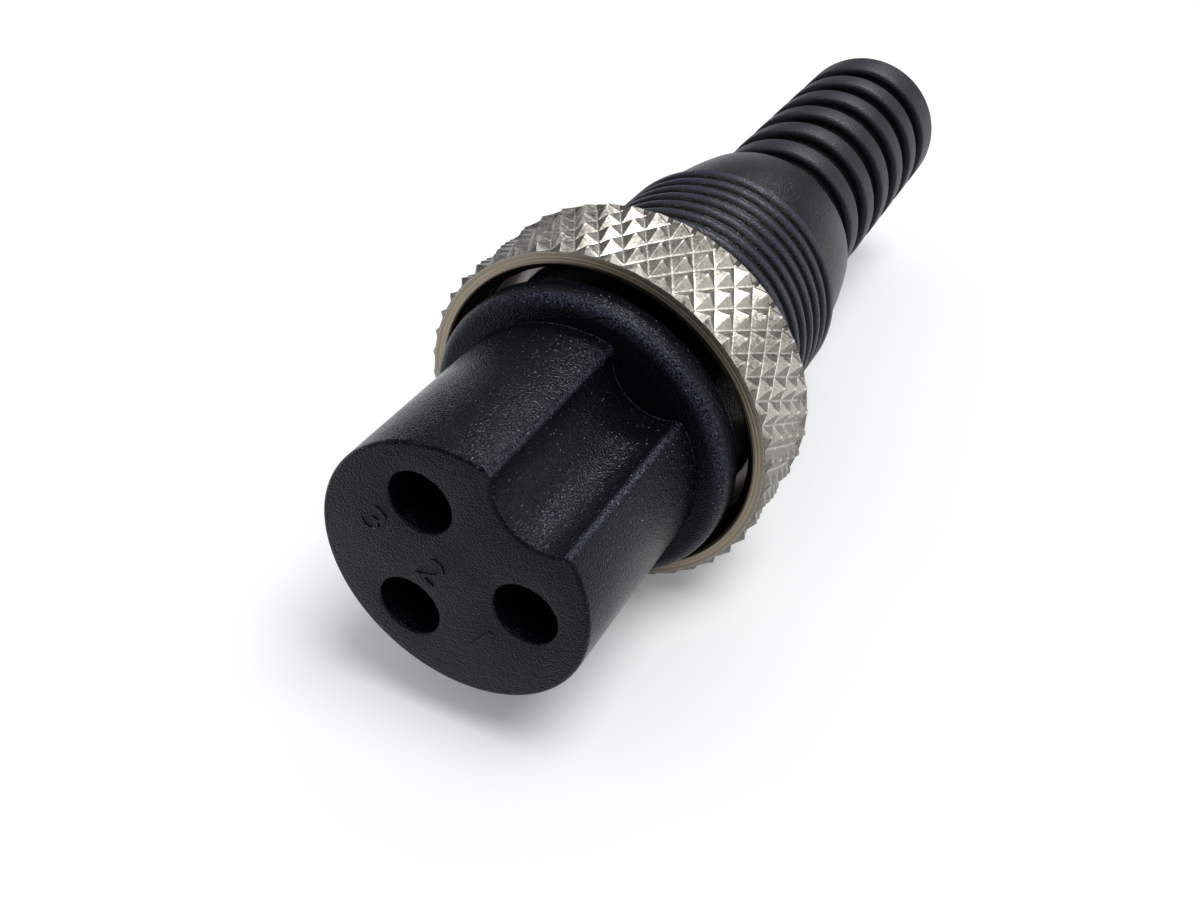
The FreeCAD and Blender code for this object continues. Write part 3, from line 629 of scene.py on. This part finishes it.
def keyed_outline(bm, nose):
    """Draws the nose's round with its keyway as a closed wire at the face, and weights its rounded corners
    for a painted highlight.
    """
    highlight_weight = bm.verts.layers.float.new(HIGHLIGHT_WEIGHT)
    turn = Matrix.Rotation(nose.keyway_turn, 4, ALONG)
    middle = nose.radius - nose.keyway_depth + nose.keyway_radius
    corner_up = (nose.radius ** 2 - nose.keyway_radius ** 2 + middle ** 2) / (2 * middle)
    corner_turn = math.acos(corner_up / nose.radius)
    corner_side = nose.radius * math.sin(corner_turn)
    side_turn = math.atan2(corner_side, corner_up - middle)
    reach = CORNER_ROOM * nose.keyway_corner

    def arc(centre_up, radius, corner_at, steps):
        start = corner_at + reach / radius
        first = bm.verts.new((radius * math.sin(start), 0, centre_up + radius * math.cos(start)))
        return draw_arc(bm, first, (0, 0, centre_up), ALONG, 2 * (math.pi - start), steps)

    round_ends = arc(0, nose.radius, corner_turn, TURN_STEPS)
    keyway_ends = arc(middle, nose.keyway_radius, side_turn, KEYWAY_STEPS)
    corners = [bm.verts.new((side, 0, corner_up)) for side in (corner_side, -corner_side)]
    places = [corner.co.copy() for corner in corners]
    for corner, round_end, keyway_end in zip(corners, round_ends, keyway_ends):
        bm.edges.new((corner, round_end))
        bm.edges.new((corner, keyway_end))
    # Painted highlight: the keyway's rounded corners get a weight, highest near the corner's middle
    for vertex in round_off(bm, corners, nose.keyway_corner, "VERTICES"):
        gap = min((vertex.co - place).length for place in places)
        vertex[highlight_weight] = min(1, EDGE_HIGHLIGHT_GAIN * max(0, 1 - gap / nose.keyway_corner) ** 2)
    bmesh.ops.transform(bm, matrix=Matrix.Translation(on_axis(0)) @ turn, verts=bm.verts)


def bore_contact_holes(bm, nose):
    """Refills the nose face round the contact holes, and sinks the holes with a rounded rim."""
    # Marks the face and the holes, which the painted glints are left off
    glint_free_layer = bm.verts.layers.float.new(GLINT_FREE)
    every_rim = open_end(bm, min)
    holes = []
    for index in range(CONTACTS):
        turn = nose.keyway_turn + math.radians(FIRST_HOLE + HOLE_TURN * index)
        centre = off_axis(nose.hole_circle, turn, 0)
        circle = draw_circle(bm, nose.hole_radius + nose.hole_edge, HOLE_STEPS, centre)
        holes.append((centre, circle))
        every_rim += circle
    bmesh.ops.triangle_fill(bm, edges=every_rim, use_beauty=True, normal=-ALONG)
    for edge in every_rim:
        for vertex in edge.verts:
            vertex[glint_free_layer] = 1
    for centre, edges in holes:
        about_centre = Matrix.Translation(-centre)
        radius, depth = nose.hole_radius + nose.hole_edge, 0
        for step in range(1, ROUND_STEPS + 2):
            bend = min(step / ROUND_STEPS, 1) * math.pi / 2
            next_radius = nose.hole_radius + nose.hole_edge * (1 - math.sin(bend))
            next_depth = nose.hole_edge * (1 - math.cos(bend)) if step <= ROUND_STEPS else nose.hole_depth
            sunk = bmesh.ops.extrude_edge_only(bm, edges=edges)["geom"]
            edges = kind(sunk, bmesh.types.BMEdge)
            points = kind(sunk, bmesh.types.BMVert)
            for point in points:
                point[glint_free_layer] = 1
            shrink = next_radius / radius
            bmesh.ops.scale(bm, vec=(shrink, 1, shrink), space=about_centre, verts=points)
            bmesh.ops.translate(bm, vec=(next_depth - depth) * ALONG, verts=points)
            radius, depth = next_radius, next_depth
        bmesh.ops.contextual_create(bm, geom=edges)


def grow_shank(bm, nose, sleeve):
    """Refills the nose's back round the shank inside the sleeve, and draws the shank out."""
    rim = open_end(bm, max)
    spigot_radius = sleeve.seat_radius - nose.joint
    shoulder = nose.length + sleeve.seat_depth + nose.joint
    loop = draw_circle(bm, spigot_radius, TURN_STEPS, on_axis(nose.length))
    bmesh.ops.triangle_fill(bm, edges=rim + loop, use_beauty=True, normal=ALONG)
    for radius, station in (
        (spigot_radius, shoulder),
        (nose.shank_radius, shoulder),
        (nose.shank_radius, rear("contact_insert")),
    ):
        loop = loop_to_circle(bm, loop, radius, station)
    bmesh.ops.contextual_create(bm, geom=loop)


def add_digit(bm, nose, digit, radius, turn):
    """Sets a raised contact number into the nose face, upright with the keyway up."""
    text = bpy.data.curves.new("digit", "FONT")
    text.body = str(digit)
    text.size = nose.digit_height
    text.align_x = "CENTER"
    text.align_y = "CENTER"
    text.extrude = nose.digit_relief
    holder = bpy.data.objects.new("digit", text)
    mesh = bpy.data.meshes.new_from_object(holder)
    turned = Matrix.Rotation(nose.keyway_turn, 4, ALONG) @ UPRIGHT
    mesh.transform(Matrix.Translation(off_axis(radius, nose.keyway_turn + turn, 0)) @ turned)
    figure = bmesh.new()
    figure.from_mesh(mesh)
    bmesh.ops.remove_doubles(figure, verts=figure.verts, dist=MERGE_GAP)
    add_shell(bm, figure)
    bpy.data.objects.remove(holder)
    bpy.data.curves.remove(text)
    bpy.data.meshes.remove(mesh)


class BuildNose(bpy.types.Operator):
    """Build the keyed nose with its contact holes and numbers"""
    bl_idname = "plug.build_nose"
    bl_label = "Nose"

    def execute(self, context):
        nose = context.scene.plug_nose
        bm = bmesh.new()
        keyed_outline(bm, nose)
        face = bmesh.ops.contextual_create(bm, geom=bm.edges[:])["faces"][0]
        grown = bmesh.ops.extrude_face_region(bm, geom=[face], use_keep_orig=True)["geom"]
        bmesh.ops.translate(bm, vec=nose.length * ALONG, verts=kind(grown, bmesh.types.BMVert))
        bmesh.ops.recalc_face_normals(bm, faces=bm.faces)
        round_off(bm, end_face(bm, max).edges[:], nose.joint, "EDGES", BREAK_STEPS)
        round_off(bm, end_face(bm, min).edges[:], nose.edge, "EDGES")
        bore_contact_holes(bm, nose)
        grow_shank(bm, nose, context.scene.plug_sleeve)
        bmesh.ops.recalc_face_normals(bm, faces=bm.faces)
        for digit, radius, turn in DIGITS:
            add_digit(bm, nose, digit, radius * MM, math.radians(turn))
        smooth_faces(bm)
        material = shared_nylon(context.scene.plug_finishes)
        finish_piece(bm, "nose", material, "plug", "contact_insert")
        return {"FINISHED"}


class BuildSleeve(bpy.types.Operator):
    """Build the sleeve with its round-edged flange and its neck"""
    bl_idname = "plug.build_sleeve"
    bl_label = "Sleeve"

    def execute(self, context):
        sleeve = context.scene.plug_sleeve
        face = front("plug_sleeve")
        flange_back = face + sleeve.thickness
        ledge = face + sleeve.seat_depth
        ledge_end = ledge + sleeve.ledge_length
        shank_radius = context.scene.plug_nose.shank_radius + sleeve.shank_play
        shell_front = front("backshell")
        end = rear("plug_sleeve")
        bm = bmesh.new()
        draw_profile(bm, (
            (sleeve.seat_radius, face, 0),
            (sleeve.radius, face, sleeve.edge),
            (sleeve.radius, flange_back, sleeve.rear_edge),
            (sleeve.neck_radius, flange_back, 0),
            (sleeve.neck_radius, shell_front, 0),
            (sleeve.tail_radius, shell_front, 0),
            (sleeve.tail_radius, end, 0),
            (sleeve.bore_radius, end, 0),
            (sleeve.bore_radius, ledge_end, 0),
            (shank_radius, ledge_end, 0),
            (shank_radius, ledge, 0),
            (sleeve.seat_radius, ledge, 0),
        ))
        turn_profile(bm)
        # Painted highlight: the flange's rounded front edge gets a weight, highest halfway round the
        # rounding
        highlight_weight = bm.verts.layers.float.new(HIGHLIGHT_WEIGHT)
        for vertex in bm.verts:
            station = vertex.co.y - NOSE_FACE
            reach = (vertex.co - on_axis(station)).length - (sleeve.radius - sleeve.edge)
            depth = station - face
            if reach > 0 and depth < sleeve.edge:
                vertex[highlight_weight] = (2 * reach * (sleeve.edge - depth) / sleeve.edge ** 2) ** 2
        smooth_faces(bm)
        material = shared_nylon(context.scene.plug_finishes)
        finish_piece(bm, "sleeve", material, "plug", "plug_sleeve")
        return {"FINISHED"}


class FinishContacts(bpy.types.Operator):
    """Give the contacts and their retainer their finishes"""
    bl_idname = "plug.finish_contacts"
    bl_label = "Contacts"

    def execute(self, context):
        finishes = context.scene.plug_finishes
        brass = turned_metal("turned_brass", finishes.brass, BRASS_FEED)
        paint_node("contact_retainer", shared_nylon(finishes))
        for index in range(CONTACTS):
            paint_node(f"socket_contact_{index + 1}", brass)
        return {"FINISHED"}


# Screw ring

THREAD_FLANK = math.radians(30)
TURNS_AHEAD = 1.5
SPARE_TURNS = 2


def knurl_sheet(bm, ring):
    """Wraps a grid into a band of pyramids, rounds their edges and cuts both ends square."""
    start, end = front("coupling_ring"), rear("coupling_ring")
    columns = 2 * ring.teeth
    step = WHOLE_TURN / columns
    row_height = ring.radius * step / math.tan(ring.lean)
    rows = 2 * math.ceil((end - start) / row_height / 2) + 2
    bmesh.ops.create_grid(bm, x_segments=columns, y_segments=rows, size=1)
    for vertex in bm.verts:
        column = round((vertex.co.x + 1) / 2 * columns)
        row = round((vertex.co.y + 1) / 2 * rows)
        tip = (row + column) % 2 == 0
        radius = ring.radius if tip else ring.radius - ring.depth
        station = (start + end) / 2 + (row - rows / 2) * row_height
        vertex.co = off_axis(radius, math.pi - (column - 0.5) * step, station)
    bmesh.ops.remove_doubles(bm, verts=bm.verts, dist=MERGE_GAP)
    bmesh.ops.triangulate(bm, faces=bm.faces, quad_method="SHORT_EDGE")
    ridges = [edge for edge in bm.edges if not edge.is_boundary]
    round_off(bm, ridges, ring.worn_edge, "EDGES", BREAK_STEPS)
    cut_off(bm, start + ring.lip_chamfer, -ALONG)
    cut_off(bm, end - ring.back_chamfer, ALONG)


def ring_wall(bm, ring):
    """Closes the knurled band with lip, bore, snap ring groove and back."""
    start, end = front("coupling_ring"), rear("coupling_ring")
    groove_front = front("snap_ring") - ring.groove_play
    groove_rear = rear("snap_ring") + ring.groove_play
    lining_radius = ring.root_radius + ring.lining_room
    thread_end = start + ring.thread_length
    middle = NOSE_FACE + (start + end) / 2
    rims = [edge for edge in bm.edges if edge.is_boundary]
    loop = [edge for edge in rims if edge.verts[0].co.y < middle]
    for radius, station in (
        (ring.lip_radius, start),
        (ring.mouth_radius, start),
        (lining_radius, start + HAIR),
        (lining_radius, thread_end),
        (ring.crest_radius, thread_end),
        (ring.crest_radius, groove_front),
        (ring.groove_radius, groove_front),
        (ring.groove_radius, groove_rear),
        (ring.crest_radius, groove_rear),
        (ring.crest_radius, end),
    ):
        loop = loop_to_circle(bm, loop, radius, station)
    back = [edge for edge in rims if edge.verts[0].co.y > middle]
    back = loop_to_circle(bm, back, ring.back_radius, end)
    bmesh.ops.bridge_loops(bm, edges=loop + back)
    bmesh.ops.recalc_face_normals(bm, faces=bm.faces)


def thread_lining(ring):
    """A thin lining with the right-hand inner thread, opened by the mouth's chamfer."""
    start = front("coupling_ring")
    end = start + ring.thread_length
    depth = ring.root_radius - ring.crest_radius
    flank = depth * math.tan(THREAD_FLANK)
    flat = (ring.pitch - 2 * flank) / 2
    turns = math.ceil(ring.thread_length / ring.pitch) + SPARE_TURNS
    first = start - TURNS_AHEAD * ring.pitch
    bm = bmesh.new()
    draw_profile(bm, (
        (ring.root_radius, first, 0),
        (ring.root_radius, first + flat, 0),
        (ring.crest_radius, first + flat + flank, 0),
        (ring.crest_radius, first + 2 * flat + flank, 0),
        (ring.root_radius, first + ring.pitch, 0),
    ), closed=False)
    bmesh.ops.spin(bm, geom=bm.verts[:] + bm.edges[:], cent=on_axis(0), axis=ALONG,
                   dvec=ring.pitch / TURN_STEPS * ALONG, angle=WHOLE_TURN * turns, steps=TURN_STEPS * turns)
    bmesh.ops.remove_doubles(bm, verts=bm.verts, dist=MERGE_GAP)
    for vertex in bm.verts:
        station = vertex.co.y - NOSE_FACE
        outward = vertex.co - on_axis(station)
        chamfer = ring.mouth_radius - (station - start)
        if chamfer > outward.length:
            vertex.co += outward.normalized() * (min(chamfer, ring.mouth_radius) - outward.length)
    cut_off(bm, start + HAIR, -ALONG)
    cut_off(bm, end, ALONG)
    bmesh.ops.recalc_face_normals(bm, faces=bm.faces)
    bmesh.ops.solidify(bm, geom=bm.faces[:], thickness=ring.lining_wall)
    return bm


class BuildRing(bpy.types.Operator):
    """Build the knurled screw ring with its inner thread"""
    bl_idname = "plug.build_ring"
    bl_label = "Screw ring"

    def execute(self, context):
        ring = context.scene.plug_ring
        bm = bmesh.new()
        knurl_sheet(bm, ring)
        ring_wall(bm, ring)
        lining = thread_lining(ring)
        smooth_faces(lining)
        add_shell(bm, lining)
        material = nickel_plated_brass(context.scene.plug_finishes, ring)
        finish_piece(bm, "screw_ring", material, "ring", "coupling_ring")
        return {"FINISHED"}


class BuildClip(bpy.types.Operator):
    """Build the open snap ring in the screw ring's groove"""
    bl_idname = "plug.build_clip"
    bl_label = "Snap ring"

    def execute(self, context):
        clip = context.scene.plug_clip
        bm = bmesh.new()
        draw_profile(bm, (
            (clip.inner_radius, front("snap_ring"), clip.edge),
            (clip.outer_radius, front("snap_ring"), clip.edge),
            (clip.outer_radius, rear("snap_ring"), clip.edge),
            (clip.inner_radius, rear("snap_ring"), clip.edge),
        ))
        turn_profile(bm, WHOLE_TURN - clip.gap)
        smooth_faces(bm)
        material = turned_metal("spring_steel", context.scene.plug_finishes.spring, SPRING_FEED)
        finish_piece(bm, "clip_ring", material, "clip", "snap_ring")
        return {"FINISHED"}


# Backshell and boot

def draw_band(bm, shell, start, end):
    """Draws the barrel curve of the plain band, and gives the vertices at its front and back."""
    sideways = Vector((0, 0, 1))
    near = on_axis(start) + Vector((shell.band_radius, 0, 0))
    far = on_axis(end) + Vector((shell.band_rear_radius, 0, 0))
    half = (far - near).length / 2
    outward = (far - near).cross(sideways).normalized()
    centre = (near + far) / 2 - outward * math.sqrt(shell.band_crown ** 2 - half ** 2)
    sweep = 2 * math.asin(half / shell.band_crown)
    return draw_arc(bm, bm.verts.new(near), centre, sideways, sweep, BAND_STEPS)


class BuildShell(bpy.types.Operator):
    """Build the backshell with its grip ridges and its barrel-shaped band"""
    bl_idname = "plug.build_shell"
    bl_label = "Backshell"

    def execute(self, context):
        shell = context.scene.plug_shell
        start, end = front("backshell"), rear("backshell")
        collar_end = start + shell.collar_length
        ridges_end = collar_end + shell.ridge_count * shell.ridge_pitch
        root = shell.ridge_radius - shell.ridge_depth
        flank = (shell.ridge_pitch - shell.crest - shell.valley) / 2
        corners = [
            (shell.bore_radius, start, 0),
            (shell.collar_radius, start, shell.ridge_edge),
            (shell.collar_radius, collar_end, shell.ridge_edge),
            (shell.ridge_radius, collar_end, 0),
        ]
        for index in range(shell.ridge_count):
            valley = collar_end + index * shell.ridge_pitch + flank
            corners += [
                (root, valley, 0),
                (root, valley + shell.valley, 0),
                (shell.ridge_radius, valley + shell.valley + flank, shell.ridge_edge),
                (shell.ridge_radius, collar_end + (index + 1) * shell.ridge_pitch, shell.ridge_edge),
            ]
        bm = bmesh.new()
        draw_profile(bm, corners, closed=False)
        ridge_back = max(bm.verts, key=lambda vertex: (vertex.co.y, -vertex.co.x))
        bore_front = min(bm.verts, key=lambda vertex: vertex.co.x)
        band_front, band_back = draw_band(bm, shell, ridges_end, end)
        bm.edges.new((ridge_back, band_front))
        boot_radius = context.scene.plug_boot.neck_radius
        inside = [profile_point(bm, radius, station) for radius, station in (
            (boot_radius, end),
            (boot_radius, end - shell.rear_wall),
            (shell.cavity_radius, end - shell.rear_wall),
            (shell.bore_radius, rear("plug_sleeve")),
        )]
        for point, follower in zip([band_back] + inside, inside + [bore_front]):
            bm.edges.new((point, follower))
        round_off(bm, [band_back], shell.rear_edge, "VERTICES")
        turn_profile(bm)
        smooth_faces(bm)
        material = matt_abs(context.scene.plug_finishes, shell)
        finish_piece(bm, "shell", material, "plug", "backshell")
        return {"FINISHED"}


class BuildBoot(bpy.types.Operator):
    """Build the ribbed strain-relief boot"""
    bl_idname = "plug.build_boot"
    bl_label = "Boot"

    def execute(self, context):
        boot = context.scene.plug_boot
        start, end = front("strain_relief_boot"), rear("strain_relief_boot")
        first_rib = rear("backshell") + boot.neck_length
        corners = [
            (boot.bore_radius, start, 0),
            (boot.flange_radius, start, boot.rib_edge),
            (boot.flange_radius, start + boot.flange_length, 0),
            (boot.neck_radius, start + boot.flange_length, 0),
        ]
        groove = boot.neck_radius
        for index in range(boot.rib_count + 1):
            rib = first_rib + index * boot.rib_pitch
            rib_end = rib + boot.rib_width if index < boot.rib_count else end
            corners += [
                (groove, rib, boot.rib_edge),
                (boot.radius, rib, boot.rib_edge),
                (boot.radius, rib_end, boot.rib_edge),
                (boot.groove_radius, rib_end, boot.rib_edge),
            ]
            groove = boot.groove_radius
        corners[-1] = (boot.bore_radius + boot.mouth, end, 0)
        corners.append((boot.bore_radius, end - boot.mouth, 0))
        bm = bmesh.new()
        draw_profile(bm, corners)
        turn_profile(bm)
        smooth_faces(bm)
        material = moulded_rubber(context.scene.plug_finishes, boot)
        finish_piece(bm, "boot", material, "plug", "strain_relief_boot")
        return {"FINISHED"}


# Stage

CAMERA_AZIMUTH = 27.63
CAMERA_ELEVATION = 36.37
CAMERA_TARGET = Vector((1.78, -16.93, 9.61)) * MM
CAMERA_DISTANCE = 55 * MM
CAMERA_LENS = 37.28
CAMERA_SENSOR = 36
CAMERA_REACH = 10
SKY_TINT = (0.92, 0.96, 1, 1)
SKY_LOW = 0.04
SKY_HIGH = 0.5
SKY_RISE = 0.6
WHITE = (1, 1, 1, 1)
FLOOR_HALF = 3
FLOOR_LIFT = 0.125

# Lamps by name, azimuth, elevation, strength and spread, with angles in degrees
KEY_LAMP = ("key", 82, 68, 1.75, 32)
HELPER_LAMPS = (
    ("rear", 175, 54, 0.4, 50),
    ("glint", 172, 50, 2.0, 6),
    ("top", -95, 66, 0.8, 12),
    ("side", 118, 16, 1.4, 45),
)


def view_from(azimuth, elevation):
    """Direction from the object towards a viewer, from angles in degrees."""
    around, up = math.radians(azimuth), math.radians(elevation)
    flat = math.cos(up)
    return Vector((math.sin(around) * flat, -math.cos(around) * flat, math.sin(up)))


def add_facing(scene, name, content, back):
    """Adds a lamp or camera with its back to a direction."""
    holder = bpy.data.objects.new(name, content)
    holder.rotation_euler = back.to_track_quat("Z", "Y").to_euler()
    scene.collection.objects.link(holder)
    return holder


def add_sun(scene, name, azimuth, elevation, strength, spread):
    """A soft lamp far away, at a bearing like the camera's."""
    lamp = bpy.data.lights.new(name, "SUN")
    lamp.energy = strength
    lamp.angle = math.radians(spread)
    return add_facing(scene, name, lamp, view_from(azimuth, elevation))


def add_camera(scene):
    """The camera that the photo was taken with, as fitted to its outlines."""
    lens = bpy.data.cameras.new("camera")
    lens.lens = CAMERA_LENS
    lens.sensor_width = CAMERA_SENSOR
    lens.clip_start = MM
    lens.clip_end = CAMERA_REACH
    back = view_from(CAMERA_AZIMUTH, CAMERA_ELEVATION)
    camera = add_facing(scene, "camera", lens, back)
    camera.location = CAMERA_TARGET + CAMERA_DISTANCE * back
    scene.camera = camera


def studio_sky(scene):
    """A plain studio, pale overhead and dark towards the horizon, which the camera sees as white."""
    world = bpy.data.worlds.new("studio")
    world.use_nodes = True
    tree = world.node_tree
    tree.nodes.clear()
    direction = add_node(tree, "TexCoord").outputs["Generated"]
    up = add_node(tree, "SeparateXYZ", {0: direction}).outputs["Z"]
    seen = add_node(tree, "LightPath").outputs["Is Camera Ray"]
    strength = mix_values(tree, seen, remap(tree, up, 0.0, SKY_RISE, SKY_LOW, SKY_HIGH), 1.0)
    tint = mix_colours(tree, seen, SKY_TINT, WHITE)
    sky = add_node(tree, "Background", {"Color": tint, "Strength": strength})
    add_node(tree, "OutputWorld", {"Surface": sky.outputs["Background"]})
    scene.world = world


def white_floor(finishes):
    """White paper sweep: it takes the plug's shadow and stays white to the eye where nothing shades it."""
    material, tree, shader = new_material("white_floor")
    rays = add_node(tree, "LightPath").outputs
    mirrored = reckon(tree, "MAXIMUM", rays["Is Glossy Ray"], rays["Is Transmission Ray"])
    seen = reckon(tree, "MAXIMUM", rays["Is Camera Ray"], mirrored)
    set_inputs(tree, shader, {
        "Base Color": finishes.floor,
        "Roughness": 1.0,
        "Specular IOR Level": 0.0,
        "Emission Color": finishes.floor,
        "Emission Strength": reckon(tree, "MULTIPLY", seen, FLOOR_LIFT),
    })
    return material


class BuildStage(bpy.types.Operator):
    """Build the floor, the lights and the camera"""
    bl_idname = "plug.build_stage"
    bl_label = "Stage"

    def execute(self, context):
        scene = context.scene
        bm = bmesh.new()
        bmesh.ops.create_grid(bm, x_segments=1, y_segments=1, size=FLOOR_HALF)
        mesh = bpy.data.meshes.new("floor")
        bm.to_mesh(mesh)
        bm.free()
        mesh.materials.append(white_floor(scene.plug_finishes))
        floor = bpy.data.objects.new("floor", mesh)
        scene.collection.objects.link(floor)
        studio_sky(scene)
        add_sun(scene, *KEY_LAMP)
        above_floor = bpy.data.collections.new("above_floor")
        above_floor.objects.link(floor)
        above_floor.collection_objects[0].light_linking.link_state = "EXCLUDE"
        for lamp in HELPER_LAMPS:
            add_sun(scene, *lamp).light_linking.receiver_collection = above_floor
        add_camera(scene)
        scene.view_settings.view_transform = "Standard"
        return {"FINISHED"}


# Panel and registration

BUILDERS = (BuildNose, BuildSleeve, FinishContacts, BuildRing, BuildClip, BuildShell, BuildBoot, BuildStage)


class PlugPanel(bpy.types.Panel):
    """Sizes, colours and build steps of the plug"""
    bl_idname = "VIEW3D_PT_charging_plug"
    bl_label = "Charging plug"
    bl_space_type = "VIEW_3D"
    bl_region_type = "UI"
    bl_category = "Plug"

    def draw(self, context):
        for builder in BUILDERS:
            self.layout.operator(builder.bl_idname)
        for name, group in GROUPS.items():
            column = self.layout.column()
            for field in group.__annotations__:
                column.prop(getattr(context.scene, name), field)


def register():
    for group in GROUPS.values():
        bpy.utils.register_class(group)
    for name, group in GROUPS.items():
        setattr(bpy.types.Scene, name, bpy.props.PointerProperty(type=group))
    for operator in BUILDERS:
        bpy.utils.register_class(operator)
    bpy.utils.register_class(PlugPanel)


def unregister():
    bpy.utils.unregister_class(PlugPanel)
    for operator in reversed(BUILDERS):
        bpy.utils.unregister_class(operator)
    for name, group in GROUPS.items():
        delattr(bpy.types.Scene, name)
        bpy.utils.unregister_class(group)


def main():
    register()
    bpy.ops.plug.build_nose()
    bpy.ops.plug.build_sleeve()
    bpy.ops.plug.finish_contacts()
    bpy.ops.plug.build_ring()
    bpy.ops.plug.build_clip()
    bpy.ops.plug.build_shell()
    bpy.ops.plug.build_boot()
    bpy.ops.plug.build_stage()


if __name__ == "__main__":
    main()
